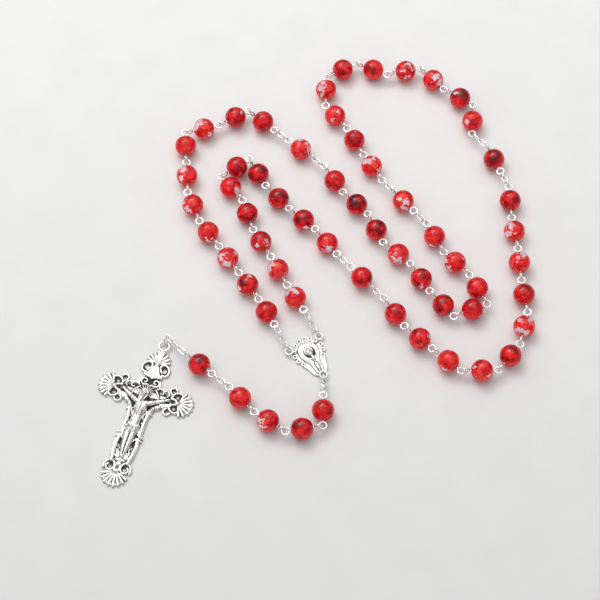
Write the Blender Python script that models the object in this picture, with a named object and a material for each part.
"""Rosary laid out on a table: 59 beads on eye pins, a centre medal and a crucifix.

Blender 4.5, metres, +Z up, the table at z = 0.  Lengths in this file are millimetres until
a mesh is made.  Every bead link is one bead on its eye pin.  Its object origin is the hinge
with the link before it, its +X runs along the pin and its local Y is the hinge axis.
"""

import math

import bmesh
import bpy
import numpy as np
from mathutils import Matrix, Vector

MM = 0.001

# ---------------------------------------------------------------- driving dimensions (mm)
BEAD_R = 4.0            # 8 mm beads, all alike
EYE_R = 1.30            # eye of a pin, to the wire's centre line
WIRE_R = 0.35           # pin wire
GAP = 0.30              # running clearance between two hooked wires
EYE_TO_BEAD = 5.85      # bead centre to the centre of its own eye
HOOK = EYE_R - 2 * WIRE_R - GAP      # hinge to the centre of the eye that hooks over it
CHAIN_RUN = 5.90        # extra length of a run of small chain links
CHAIN_WIRE_R = 0.30
BEAD_Z = BEAD_R         # bead centres, lying on the table

EAR_R = 1.30            # medal rings, to the wire's centre line
EAR_WIRE_R = 0.36
EAR_Z = 1.48
MEDAL_AT = (3.3, -19.7)      # centre of the medal's round part
MEDAL_UP = 119.5             # heading of its upper end, degrees
MEDAL_EARS = (6.2, 3.7)      # ears, either side and above that centre
MEDAL_FOOT = 10.4            # lower ring, below that centre
MEDAL_HALF_W = 4.0
MEDAL_TOP = 4.6
MEDAL_TAIL = 8.7
MEDAL_PLATE = 1.2

BAIL_R = 1.85           # crucifix hanging ring, to the wire's centre line
BAIL_WIRE_R = 0.38
BAIL_Z = 1.48
CROSS_AT = 21.2         # hanging point to the crossing of the arms
CROSS_TIP = 57.6        # hanging point to the foot
CROSS_ARM = 16.7        # crossing to the end of an arm
CROSS_PLATE = 1.2
JUMP_R = 1.60           # jump rings, in the medal's rings and the crucifix's ring
JUMP_WIRE_R = 0.32
JUMP_AHEAD = 0.40       # hanging point to the jump ring's centre, along the strand
JUMP_UP = 0.44          # and upwards, so that the ring stands on the table

# Course of the strands over the table, one whole-millimetre point for each bead.
LEFT_COURSE = [
    (-13, -4), (-19, 7), (-27, 18), (-35, 29), (-40, 41), (-44, 54), (-43, 67), (-37, 75),
    (-26, 80), (-15, 78), (0, 66), (13, 51), (21, 41), (28, 30), (36, 20), (44, 9),
    (52, -1), (62, -3), (64, 6), (57, 16), (50, 27), (38, 43), (27, 58), (20, 70),
    (13, 81), (11, 93), (16, 101), (28, 103), (41, 101), (52, 97), (61, 90), (66, 78),
]
RIGHT_COURSE = [
    (-2, 1), (-8, 13), (-15, 25), (-20, 37), (-26, 48), (-24, 57), (-16, 54), (-8, 43),
    (1, 34), (10, 24), (23, 9), (35, -6), (43, -16), (54, -25), (65, -29), (76, -22),
    (81, -11), (82, 2), (81, 15), (80, 29), (79, 42), (74, 60),
]
PENDANT_COURSE = [(10, -45), (0, -52), (-11, -48), (-22, -39), (-36, -25)]
CROSS_COURSE = (-66, -71)           # foot of the crucifix

FIRST_REACH = 15.55      # medal ear hinge to bead 1 and bead 54
FOOT_REACH = 13.75       # medal foot hinge to the first pendant bead
LAST_REACH = 16.1        # last pendant bead to the crucifix's hanging point


# ---------------------------------------------------------------- meshes
def clear_scene():
    for ob in list(bpy.data.objects):
        bpy.data.objects.remove(ob, do_unlink=True)


def mesh_from(name, verts, faces):
    me = bpy.data.meshes.new(name)
    me.from_pydata([tuple(v) for v in verts], [], faces)
    me.update()
    return me


def torus(cx, cy, cz, big, small, plane, segs=8, sides=3, stretch=1.0, turn=0.0, axis=(1.0, 0.0)):
    """Ring about (cx, cy, cz).  plane 'flat' lies level; 'upright' stands along axis."""
    verts, faces = [], []
    ax = Vector((axis[0], axis[1], 0.0)).normalized()
    ay = Vector((-ax.y, ax.x, 0.0))
    az = Vector((0.0, 0.0, 1.0))
    u, w, n = (ax, ay, az) if plane == "flat" else (ax, az, -ay)
    c = Vector((cx, cy, cz))
    for i in range(segs):
        a = 2 * math.pi * i / segs + turn
        flat = u * math.cos(a) * stretch + w * math.sin(a)
        out = (u * math.cos(a) + w * math.sin(a) * stretch).normalized()
        for j in range(sides):
            b = 2 * math.pi * (j + 0.5) / sides
            verts.append(c + flat * big + out * (small * math.cos(b)) + n * (small * math.sin(b)))
    for i in range(segs):
        k = (i + 1) % segs
        for j in range(sides):
            m = (j + 1) % sides
            faces.append((i * sides + j, k * sides + j, k * sides + m, i * sides + m))
    return verts, faces


def rod(p, q, radius, sides=5, end_radius=None):
    p, q = Vector(p), Vector(q)
    end_radius = radius if end_radius is None else end_radius
    d = (q - p).normalized()
    side = d.cross(Vector((0, 0, 1)))
    if side.length < 1e-6:
        side = Vector((1, 0, 0))
    side.normalize()
    up = side.cross(d)
    verts = []
    for base, r in ((p, radius), (q, end_radius)):
        for j in range(sides):
            a = 2 * math.pi * j / sides
            verts.append(base + side * math.cos(a) * r + up * math.sin(a) * r)
    faces = [tuple(range(sides)), tuple(range(2 * sides - 1, sides - 1, -1))]
    for j in range(sides):
        m = (j + 1) % sides
        faces.append((j, j + sides, m + sides, m))
    return verts, faces


def ball(cx, cy, cz, rx, ry=None, rz=None, segs=12, rings=6, along="x"):
    """Ellipsoid with its poles along x or z."""
    ry, rz = ry or rx, rz or rx
    verts, faces = [], []
    rows = rings - 1
    for i in range(1, rings):
        t = math.pi * i / rings
        for j in range(segs):
            a = 2 * math.pi * (j + 0.5) / segs
            if along == "x":
                v = (math.cos(t), math.sin(t) * math.cos(a), math.sin(t) * math.sin(a))
            else:
                v = (math.sin(t) * math.sin(a), math.sin(t) * math.cos(a), math.cos(t))
            verts.append((cx + rx * v[0], cy + ry * v[1], cz + rz * v[2]))
    top, bottom = len(verts), len(verts) + 1
    if along == "x":
        verts += [(cx + rx, cy, cz), (cx - rx, cy, cz)]
    else:
        verts += [(cx, cy, cz + rz), (cx, cy, cz - rz)]
    for j in range(segs):
        m = (j + 1) % segs
        faces.append((top, j, m))
        faces.append((bottom, (rows - 1) * segs + m, (rows - 1) * segs + j))
        for i in range(rows - 1):
            faces.append((i * segs + j, (i + 1) * segs + j, (i + 1) * segs + m, i * segs + m))
    return verts, faces


def pin_eye(cx, cz, way, plane, wire=WIRE_R, segs=7, sweep=math.radians(322)):
    """Rows of three wire corners for one bent eye, from the bead outwards."""
    n = Vector((0, 0, 1)) if plane == "flat" else Vector((0, -1, 0))
    d0 = Vector((way, 0, 0))
    s0 = n.cross(d0)
    c = Vector((cx, 0, cz))
    corners = [Vector((0, math.cos(math.radians(t)), math.sin(math.radians(t)))) * wire
               for t in (270, 30, 150)]
    share = [(v.dot(s0), v.dot(n)) for v in corners]
    path = []
    for i in range(segs + 1):
        a = sweep * i / segs
        path.append(c + (-d0 * math.cos(a) - s0 * math.sin(a)) * EYE_R)
    rows = []
    for i, p in enumerate(path):
        if i == 0:
            t1 = (path[1] - p).normalized()
            t = (d0 + t1).normalized()
            grow = 1.0 / max(t.dot(d0), 0.6)
        else:
            before = (p - path[i - 1]).normalized()
            after = (path[i + 1] - p).normalized() if i < segs else before
            t, grow = (before + after).normalized(), 1.0
        s = n.cross(t)
        rows.append([p + s * (al * grow) + n * be for al, be in share])
    return rows


def bead_on_pin(cx, cz, near_plane, far_plane, segs=9, rings=6, wire=WIRE_R):
    """One bead and its pin: both poles of the bead run out into a wire bent to an eye."""
    dip = math.sqrt(BEAD_R ** 2 - wire ** 2)
    near = pin_eye(cx - EYE_TO_BEAD, cz, -1, near_plane)
    far = pin_eye(cx + EYE_TO_BEAD, cz, 1, far_plane)
    rows = list(reversed(near))
    for x in (cx - dip,):
        rows.append([Vector((x, wire * math.cos(t), cz + wire * math.sin(t)))
                     for t in (math.radians(270), math.radians(30), math.radians(150))])
    for i in range(rings - 1, 0, -1):
        t = math.pi * i / rings
        rows.append([Vector((cx + BEAD_R * math.cos(t),
                             BEAD_R * math.sin(t) * math.cos(a), cz + BEAD_R * math.sin(t) * math.sin(a)))
                     for a in (math.radians(270 + 360 * j / segs) for j in range(segs))])
    rows.append([Vector((cx + dip, wire * math.cos(t), cz + wire * math.sin(t)))
                 for t in (math.radians(270), math.radians(30), math.radians(150))])
    rows += far
    verts, first = [], []
    for r in rows:
        first.append(len(verts))
        verts += r
    faces = [(2, 1, 0)]
    for i in range(len(rows) - 1):
        a, b, n, m = first[i], first[i + 1], len(rows[i]), len(rows[i + 1])
        if n == m:
            for j in range(n):
                k = (j + 1) % n
                faces.append((a + j, a + k, b + k, b + j))
        elif n < m:
            q = m // n
            for j in range(n):
                for w in range(q):
                    faces.append((a + j, b + (q * j + w + 1) % m, b + q * j + w)
                                 if w < q - 1 else
                                 (a + j, a + (j + 1) % n, b + (q * j + w + 1) % m, b + q * j + w))
        else:
            q = n // m
            for j in range(m):
                for w in range(q):
                    faces.append((b + j, a + q * j + w, a + (q * j + w + 1) % n)
                                 if w < q - 1 else
                                 (b + j, a + q * j + w, a + (q * j + w + 1) % n, b + (j + 1) % m))
    start = first[-1]
    faces.append((start, start + 1, start + 2))
    return verts, faces


def slab(outline, z0, z1, top_scale=1.0):
    """Closed plate from a level outline."""
    n = len(outline)
    cx = sum(p[0] for p in outline) / n
    cy = sum(p[1] for p in outline) / n
    verts = [(p[0], p[1], z0) for p in outline]
    verts += [(cx + (p[0] - cx) * top_scale, cy + (p[1] - cy) * top_scale, z1) for p in outline]
    faces = [tuple(reversed(range(n))), tuple(range(n, 2 * n))]
    for j in range(n):
        m = (j + 1) % n
        faces.append((j, m, m + n, j + n))
    return verts, faces


def closed_tube(points, radius, sides=4, flat=1.0):
    """Tube that follows a closed level path."""
    n = len(points)
    verts, faces = [], []
    pts = [Vector(p) for p in points]
    for i in range(n):
        d = (pts[(i + 1) % n] - pts[i - 1]).normalized()
        out = Vector((d.y, -d.x, 0)).normalized()
        for j in range(sides):
            b = 2 * math.pi * (j + 0.5) / sides
            verts.append(pts[i] + out * (radius * math.cos(b))
                         + Vector((0, 0, radius * flat * math.sin(b))))
    for i in range(n):
        k = (i + 1) % n
        for j in range(sides):
            m = (j + 1) % sides
            faces.append((i * sides + j, k * sides + j, k * sides + m, i * sides + m))
    return verts, faces


def open_tube(points, radii, sides=5):
    """Tube along an open path, with flat ends."""
    pts = [Vector(p) for p in points]
    n = len(pts)
    verts, faces = [], []
    for i in range(n):
        a, b = pts[max(i - 1, 0)], pts[min(i + 1, n - 1)]
        d = (b - a).normalized()
        side = d.cross(Vector((0, 0, 1)))
        if side.length < 1e-6:
            side = Vector((0, 1, 0))
        side.normalize()
        up = side.cross(d)
        r = radii[i] if isinstance(radii, (list, tuple)) else radii
        for j in range(sides):
            t = 2 * math.pi * j / sides
            verts.append(pts[i] + side * math.cos(t) * r + up * math.sin(t) * r)
    faces.append(tuple(range(sides)))
    faces.append(tuple(range(n * sides - 1, (n - 1) * sides - 1, -1)))
    for i in range(n - 1):
        for j in range(sides):
            m = (j + 1) % sides
            faces.append((i * sides + j, (i + 1) * sides + j, (i + 1) * sides + m, i * sides + m))
    return verts, faces


def as_object(name, solid):
    me = mesh_from(name, solid[0], solid[1])
    bm = bmesh.new()
    bm.from_mesh(me)
    bmesh.ops.recalc_face_normals(bm, faces=bm.faces)
    if bm.calc_volume(signed=True) < 0:
        bmesh.ops.reverse_faces(bm, faces=bm.faces)
    bm.to_mesh(me)
    bm.free()
    ob = bpy.data.objects.new(name, me)
    bpy.context.scene.collection.objects.link(ob)
    return ob


def union(name, solids, cuts=()):
    """One closed mesh from overlapping solids, by exact Booleans."""
    base = as_object(name, solids[0])
    extra = []
    for k, (kind, s) in enumerate([("UNION", s) for s in solids[1:]] + [("DIFFERENCE", s) for s in cuts]):
        ob = as_object("%s_with_%d" % (name, k), s)
        ob.hide_render = True
        ob.display_type = "WIRE"
        mod = base.modifiers.new("with_%d" % k, "BOOLEAN")
        mod.operation = kind
        mod.solver = "EXACT"
        mod.object = ob
        extra.append(ob)
    bpy.context.view_layer.update()
    dg = bpy.context.evaluated_depsgraph_get()
    me = bpy.data.meshes.new_from_object(base.evaluated_get(dg))
    me.name = name
    for ob in extra + [base]:
        bpy.data.objects.remove(ob, do_unlink=True)
    bm = bmesh.new()
    bm.from_mesh(me)
    bmesh.ops.triangulate(bm, faces=[f for f in bm.faces if len(f.verts) > 4])
    loose = [v for v in bm.verts if not v.link_faces]
    bmesh.ops.delete(bm, geom=loose, context="VERTS")
    bmesh.ops.scale(bm, vec=(MM, MM, MM), verts=bm.verts)
    bm.to_mesh(me)
    bm.free()
    me.materials.clear()
    return me


# ---------------------------------------------------------------- bead links
def rings_between(p, q, count, first, axis=None, wire=CHAIN_WIRE_R, bite=0.26):
    """Small chain links from wire centre p to wire centre q, each fused into its neighbour."""
    p, q = Vector(p), Vector(q)
    span = (q - p).length
    d = (q - p) / span
    axis = axis or (d.x, d.y)
    across = (span + (count + 1) * bite) / count
    out = []
    for i in range(count):
        c = p + d * (i * (across - bite) + across / 2 - bite)
        plane = first if i % 2 == 0 else ("upright" if first == "flat" else "flat")
        out.append(torus(c.x, c.y, c.z, across / 2, wire, plane, segs=6, sides=3, axis=axis))
    return out


class Link:
    """One bead link: reach from its hinge to the bead, and from the bead to its far eye."""

    def __init__(self, reach=None, far=None, hinge_r=EYE_R, rise=0.0):
        self.reach = HOOK + EYE_TO_BEAD if reach is None else reach
        self.far = EYE_TO_BEAD if far is None else far
        self.hinge_r = hinge_r      # radius of the parent's ring that it hooks into
        self.rise = rise            # bead centre above the hinge

    def key(self):
        return (round(self.reach, 3), round(self.far, 3), round(self.rise, 3))


def link_solids(link, cut_short=False):
    """Solids of a link, in its own frame: hinge at the origin, pin along +X."""
    b = link.reach
    z = link.rise
    near = b - EYE_TO_BEAD
    e = b + EYE_TO_BEAD
    f = b + link.far
    plain = abs(near - HOOK) < 0.01
    plain_far = abs(f - e) < 0.01
    solids = [bead_on_pin(b, z, "upright" if plain else "flat", "flat" if plain_far else "upright")]
    # near side
    if z > 0:
        # a larger jump ring stands in the medal's ring, then small links up to the eye
        solids.append(torus(JUMP_AHEAD, 0, JUMP_UP, JUMP_R, JUMP_WIRE_R, "upright", segs=12, sides=4))
        solids += rings_between((JUMP_AHEAD + JUMP_R * 0.95, 0, JUMP_UP + 0.4), (near - EYE_R, 0, z),
                                3, "flat")
    elif not plain:
        solids.append(torus(HOOK, 0, 0, EYE_R, WIRE_R, "upright"))
        solids += rings_between((HOOK + EYE_R, 0, 0), (near - EYE_R, 0, 0), 2, "flat")
    # far side
    if not plain_far and not cut_short:
        solids += rings_between((e + EYE_R, 0, z), (f - EYE_R, 0, z), 2, "flat")
        solids.append(torus(f, 0, z, EYE_R, WIRE_R, "flat"))
    return solids


# ---------------------------------------------------------------- lay of the strands
def lay(start, links, course, tail=None):
    """Headings of the links whose beads lie nearest the course, hinge to hinge exactly.

    Gauss-Newton on the headings; the link lengths are fixed, so the pitch stays true.
    """
    course = np.array(course, float)
    n = len(links)
    if tail is not None:
        course = np.vstack([course, tail])
    start = np.array(start, float)
    arm = np.array([k.hinge_r + k.reach for k in links])
    far = np.array([k.far for k in links])

    def beads(phi):
        h = np.stack([np.cos(phi), np.sin(phi)], 1)
        at, out = start.copy(), []
        for k in range(n):
            out.append(at + arm[k] * h[k])
            at = out[-1] + far[k] * h[k]
        return np.array(out)

    step = np.diff(np.vstack([start, course]), axis=0)
    phi = np.unwrap(np.arctan2(step[:, 1], step[:, 0]))
    damp = 2.0
    for _ in range(60):
        now = beads(phi)
        err = (now - course).ravel()
        jac = np.zeros((2 * n, n))
        for k in range(n):
            s = np.array([-math.sin(phi[k]), math.cos(phi[k])])
            jac[2 * k:2 * k + 2, k] = arm[k] * s
            for m in range(k + 1, n):
                jac[2 * m:2 * m + 2, k] = (arm[k] + far[k]) * s
        phi = phi - np.linalg.solve(jac.T @ jac + damp * np.eye(n), jac.T @ err)
    return phi


def medal_point(x, y):
    a = math.radians(MEDAL_UP)
    up = (math.cos(a), math.sin(a))
    right = (math.sin(a), -math.cos(a))
    return (MEDAL_AT[0] + right[0] * x + up[0] * y, MEDAL_AT[1] + right[1] * x + up[1] * y)


# ---------------------------------------------------------------- medal and crucifix
def medal_outline(grow=0.0, count=28):
    """Round at the top, drawn out to a tail below."""
    pts = []
    for i in range(count):
        a = 2 * math.pi * i / count
        x, y = math.sin(a), math.cos(a)
        if y >= 0:
            px, py = (MEDAL_HALF_W + grow) * x, (MEDAL_TOP + grow) * y
        else:
            t = -y
            px = (MEDAL_HALF_W + grow) * math.copysign(abs(x) ** 1.0, x) * (1 - 0.42 * t)
            py = -(MEDAL_TAIL + grow) * t
        pts.append((px, py))
    return pts


def medal_mesh():
    outline = medal_outline()
    solids = [slab(outline, 0.0, MEDAL_PLATE)]
    rim = [(x, y, MEDAL_PLATE) for x, y in medal_outline(-0.3)]
    solids.append(closed_tube(rim, 0.55, sides=5))
    for side in (-1, 1):
        solids.append(torus(side * MEDAL_EARS[0], MEDAL_EARS[1], EAR_Z, EAR_R, EAR_WIRE_R,
                            "flat", segs=10, sides=4))
        solids.append(rod((side * 3.2, 2.4, EAR_Z * 0.8),
                          (side * (MEDAL_EARS[0] - EAR_R), MEDAL_EARS[1] - 0.5, EAR_Z), 0.42))
    solids.append(torus(0, -MEDAL_FOOT, EAR_Z, EAR_R, EAR_WIRE_R, "flat", segs=10, sides=4))
    solids.append(rod((0, -MEDAL_TAIL + 0.8, 0.85), (0, -MEDAL_FOOT + EAR_R, EAR_Z), 0.45))
    # border of small hoops, from one ear over the top to the other and down both sides
    for a in (-128, -104, -84, -40, -20, 0, 20, 40, 84, 104, 128):
        t = math.radians(a)
        x, y = math.sin(t), math.cos(t)
        if y >= 0:
            px, py = (MEDAL_HALF_W + 0.62) * x, (MEDAL_TOP + 0.62) * y
        else:
            px, py = (MEDAL_HALF_W + 0.62) * x * (1 + 0.42 * y), (MEDAL_TAIL + 0.62) * y
        solids.append(torus(px, py, 0.75, 0.72, 0.26, "flat", segs=6, sides=3))
    # veiled bust in relief
    solids.append(ball(0.0, 0.6, 1.25, 1.55, 2.0, 1.2, segs=10, rings=6, along="z"))
    solids.append(ball(0.0, 1.0, 1.0, 2.5, 2.7, 0.85, segs=12, rings=6, along="z"))
    solids.append(ball(0.0, -3.4, 1.0, 1.45, 3.6, 0.8, segs=10, rings=6, along="z"))
    return union("centre_medal", solids)


def fan_solids(cx, cy, heading, depth, base):
    """Ribbed fan whose ribs spread from (cx, cy)."""
    out = []
    a0 = math.radians(heading)
    pts = [(cx - 1.07 * math.cos(a0), cy - 1.07 * math.sin(a0))]
    spread = math.radians(64)
    for i in range(9):
        a = a0 + spread * (i / 4 - 1)
        r = depth * (1 - 0.16 * abs(i / 4 - 1) ** 2)
        pts.append((cx + r * math.cos(a), cy + r * math.sin(a)))
    out.append(slab(pts, base, CROSS_PLATE - base))
    for i in range(5):
        a = a0 + spread * 0.82 * (i / 2 - 1)
        r = depth * 0.93
        q = 1.1 + 0.17 * i
        out.append(rod((cx + q * math.cos(a), cy + q * math.sin(a), CROSS_PLATE * 0.93 + 0.01 * i),
                       (cx + r * math.cos(a), cy + r * math.sin(a), CROSS_PLATE * 0.95 + 0.01 * i),
                       0.30, sides=3, end_radius=0.60))
    return out


def crucifix_mesh():
    x0 = CROSS_AT
    p = CROSS_PLATE
    solids = []
    # bars of the cross
    solids.append(slab([(9.2, -2.2), (9.2, 2.2), (CROSS_TIP - 6.5, 2.2), (CROSS_TIP - 6.5, -2.2)],
                       0.0, p))
    solids.append(slab([(x0 - 2.1, -CROSS_ARM + 5.6), (x0 - 2.1, CROSS_ARM - 5.6),
                        (x0 + 2.1, CROSS_ARM - 5.6), (x0 + 2.1, -CROSS_ARM + 5.6)], 0.03, p - 0.04))
    # rails either side of the shaft and of the arms
    for s in (-1, 1):
        solids.append(open_tube([(10.0, s * 3.1, p * 0.8), (x0 - 5.0, s * 3.5, p * 0.8)], 0.55, 4))
        solids.append(open_tube([(x0 + 4.2, s * 3.6, p * 0.8), (x0 + 12, s * 4.0, p * 0.8),
                                 (x0 + 20, s * 3.7, p * 0.8), (CROSS_TIP - 7.0, s * 3.5, p * 0.8)],
                                0.6, 4))
        for x in (11.5, x0 - 6.2, x0 + 6.0, x0 + 12.5, x0 + 19.5, CROSS_TIP - 8.0):
            solids.append(rod((x, s * 1.8, p * 0.7), (x, s * 3.7, p * 0.75), 0.5, 3))
        # brackets in the corners of the cross
        solids.append(open_tube([(x0 - 5.6, s * 2.0, p * 0.7), (x0 - 4.6, s * 4.4, p * 0.7),
                                 (x0 - 1.8, s * 5.4, p * 0.7)], 0.5, 4))
        solids.append(open_tube([(x0 + 5.0, s * 2.0, p * 0.7), (x0 + 4.4, s * 4.6, p * 0.7),
                                 (x0 + 1.8, s * 5.6, p * 0.7)], 0.5, 4))
    # fans and volutes at the four ends
    ends = [(6.6, 0.0, 180.0), (CROSS_TIP - 5.0, 0.0, 0.0),
            (x0, CROSS_ARM - 5.0, 90.0), (x0, -CROSS_ARM + 5.0, -90.0)]
    for n, (cx, cy, heading) in enumerate(ends):
        top = heading == 180.0
        solids += fan_solids(cx + (3.2 if top else 0), cy, heading, 5.0, 0.05 + 0.013 * n)
        a = math.radians(heading)
        for s in (-1, 1):
            bx = cx + (3.2 if top else 0)
            vx = bx - 0.7 * math.cos(a) + s * 2.95 * -math.sin(a)
            vy = cy - 0.7 * math.sin(a) + s * 2.95 * math.cos(a)
            solids.append(torus(vx, vy, p * 0.72, 1.5, 0.55, "flat", segs=8, sides=4))
    # hanging ring on the top fan
    solids.append(torus(BAIL_R, 0, BAIL_Z, BAIL_R, BAIL_WIRE_R, "flat", segs=12, sides=4))
    solids.append(rod((BAIL_R * 2 - 0.2, 0, BAIL_Z), (6.2, 0, 0.8), 0.6, 5))
    # blank plaque
    solids.append(slab([(11.6, -1.9), (11.6, 1.9), (13.6, 2.4), (15.6, 0.9), (15.6, -0.9), (13.6, -2.4)],
                       p * 0.9, p + 0.75, 0.8))
    # figure: rayed halo, head, trunk, arms, cloth and legs
    hx = x0 - 3.2
    for i in range(7):
        a = math.radians(180 + (i - 3) * 26)
        q = 0.7 + 0.08 * i
        solids.append(rod((hx + q * math.cos(a), q * math.sin(a), p + 0.1 + 0.01 * i),
                          (hx + 3.1 * math.cos(a), 3.1 * math.sin(a), p + 0.05), 0.5, 3, 0.3))
    solids.append(ball(hx, 0.25, p + 0.95, 1.35, 1.05, 1.1, segs=10, rings=6))
    solids.append(open_tube([(x0 - 1.8, 0.1, p + 0.55), (x0 + 0.8, 0, p + 0.75), (x0 + 4.6, 0, p + 0.65),
                             (x0 + 8.2, 0, p + 0.6), (x0 + 11.4, 0.1, p + 0.6)],
                            [0.8, 1.75, 1.35, 1.25, 1.6], 8))
    solids.append(open_tube([(x0 + 10.6, 0.1, p + 0.6), (x0 + 13.4, 0, p + 0.65), (x0 + 17.6, 0.2, p + 0.85),
                             (x0 + 22.0, 0, p + 0.6), (x0 + 26.4, 0, p + 0.5)],
                            [1.75, 1.7, 1.3, 1.15, 0.75], 8))
    for s in (-1, 1):
        solids.append(open_tube([(x0 + 0.2, s * 0.9, p + 0.55), (x0 - 0.5, s * 4.4, p + 0.55),
                                 (x0 - 1.4, s * 8.2, p + 0.4), (x0 - 1.9, s * 10.6, p + 0.3)],
                                [0.85, 0.72, 0.6, 0.55], 6))
    return union("crucifix", solids)


# ---------------------------------------------------------------- materials
def principled(name, colour, roughness, metallic, transmission=0.0):
    mat = bpy.data.materials.new(name)
    mat.use_nodes = True
    node = mat.node_tree.nodes["Principled BSDF"]
    node.inputs["Base Color"].default_value = (*colour, 1.0)
    node.inputs["Roughness"].default_value = roughness
    node.inputs["Metallic"].default_value = metallic
    node.inputs["Transmission Weight"].default_value = transmission
    mat.diffuse_color = (*colour, 1.0)
    return mat


# ---------------------------------------------------------------- build
def place(name, me, at, heading, mat):
    # the origin is on the table, under the middle of the centre medal
    ob = bpy.data.objects.new(name, me)
    bpy.context.scene.collection.objects.link(ob)
    ob.location = (Vector(at) - Vector((*MEDAL_AT, 0.0))) * MM
    ob.rotation_euler = (0.0, 0.0, heading)
    me.materials.clear()
    me.materials.append(mat)
    me.shade_smooth()
    return ob


def build():
    clear_scene()
    red = (0.62, 0.01, 0.02)
    silver = (0.80, 0.80, 0.79)

    ordinary = Link()
    divider = Link(reach=HOOK + EYE_TO_BEAD + CHAIN_RUN, far=EYE_TO_BEAD + CHAIN_RUN)
    first = Link(reach=FIRST_REACH, hinge_r=EAR_R, rise=BEAD_Z - EAR_Z)
    foot = Link(reach=FOOT_REACH, hinge_r=EAR_R, rise=BEAD_Z - EAR_Z)
    last = Link(reach=HOOK + EYE_TO_BEAD + CHAIN_RUN + 0.6, far=LAST_REACH)
    cross = Link(reach=CROSS_TIP, far=0.0, hinge_r=0.0)

    strands = []
    left = [first] + [divider if k in (11, 22) else ordinary for k in range(2, 33)]
    right = [first] + [divider if k in (44, 33) else ordinary for k in range(53, 32, -1)]
    pendant = [foot, ordinary, ordinary, ordinary, last, cross]
    strands.append(("left", medal_point(-MEDAL_EARS[0], MEDAL_EARS[1]), left, LEFT_COURSE, None,
                    ["bead_%02d" % k for k in range(1, 33)]))
    strands.append(("right", medal_point(MEDAL_EARS[0], MEDAL_EARS[1]), right, RIGHT_COURSE, None,
                    ["bead_%02d" % k for k in range(54, 32, -1)]))
    strands.append(("pendant", medal_point(0, -MEDAL_FOOT), pendant, PENDANT_COURSE, CROSS_COURSE,
                    ["pendant_bead_%d" % k for k in range(1, 6)] + ["crucifix"]))

    protos = {}
    layout = []
    for strand, start, links, course, tail, names in strands:
        phi = lay(start, links, course, tail)
        at = np.array(start, float)
        for k, link in enumerate(links):
            h = np.array([math.cos(phi[k]), math.sin(phi[k])])
            hinge = at + link.hinge_r * h
            z = EAR_Z if link.rise > 0 else (BAIL_Z if names[k] == "crucifix" else BEAD_Z)
            layout.append((names[k], hinge, z, phi[k], link, k == len(links) - 1))
            at = hinge + (link.reach + link.far) * h

    medal = place("centre_medal", medal_mesh(), (*MEDAL_AT, 0.0), math.radians(MEDAL_UP - 90),
                  principled("centre_medal_silver", silver, 0.28, 1.0))

    phis = {name: phi for name, _, _, phi, _, _ in layout}
    double = None
    for name, hinge, z, phi, link, end in layout:
        if name == "crucifix":
            me = crucifix_mesh()
            mat = principled("crucifix_silver", silver, 0.30, 1.0)
            # mesh is drawn with the table at z = 0, its hinge is at BAIL_Z
            me.transform(Matrix.Translation((0, 0, -BAIL_Z * MM)))
            place(name, me, (hinge[0], hinge[1], z), phi, mat)
            continue
        if name == "bead_36":
            continue
        if name == "bead_37":
            double = (hinge, z, phi, link)
        key = link.key() + (name == "pendant_bead_5", end, name == "bead_37")
        if key not in protos:
            if name == "pendant_bead_5":
                solids = last_pendant_solids(link, phis["crucifix"] - phi)
            elif name == "bead_37":
                solids = double_solids(link, phis["bead_36"] - phi)
            else:
                solids = link_solids(link, cut_short=name == "bead_33")
            protos[key] = union("link_%d" % len(protos), solids)
        me = protos[key].copy()
        me.name = name
        label = "bead_36_37" if name == "bead_37" else name
        mat = principled(label + "_glass", red, 0.08, 0.0, 0.15)
        place(label, me, (hinge[0], hinge[1], z), phi, mat)
    return medal


def last_pendant_solids(link, turn):
    """Last pendant bead, its chain, and the jump ring that stands in the crucifix's ring."""
    b = link.reach
    solids = link_solids(link, cut_short=True)
    drop = BEAD_Z - BAIL_Z
    e = b + EYE_TO_BEAD
    # the jump ring stands along the crucifix's own heading
    h = (math.cos(turn), math.sin(turn))
    f = b + link.far
    back = JUMP_AHEAD
    jump = (f - back * h[0], -back * h[1], -drop + JUMP_UP)
    solids.append(torus(*jump, JUMP_R, JUMP_WIRE_R, "upright", segs=12, sides=4, axis=h))
    tail = (jump[0] - JUMP_R * 0.95 * h[0], jump[1] - JUMP_R * 0.95 * h[1], jump[2] + 0.4)
    solids += rings_between((e + EYE_R, 0, 0), tail, 3, "flat")
    return solids


def double_solids(link, turn):
    """Two neighbouring bead links with their eyes hooked and fused."""
    solids = link_solids(link)
    f = link.reach + link.far
    h = (math.cos(turn), math.sin(turn))
    px, py = f + EYE_R * h[0], EYE_R * h[1]
    move = Matrix.Translation((px, py, 0)) @ Matrix.Rotation(turn, 4, "Z")
    for verts, faces in link_solids(link):
        solids.append(([move @ Vector(v) for v in verts], faces))
    # the hooked wires touch here
    solids.append(rod((px - 1.05 * h[0], py - 1.05 * h[1], 0), (px + 0.1 * h[0], py + 0.1 * h[1], 0), 0.24))
    return solids


build()
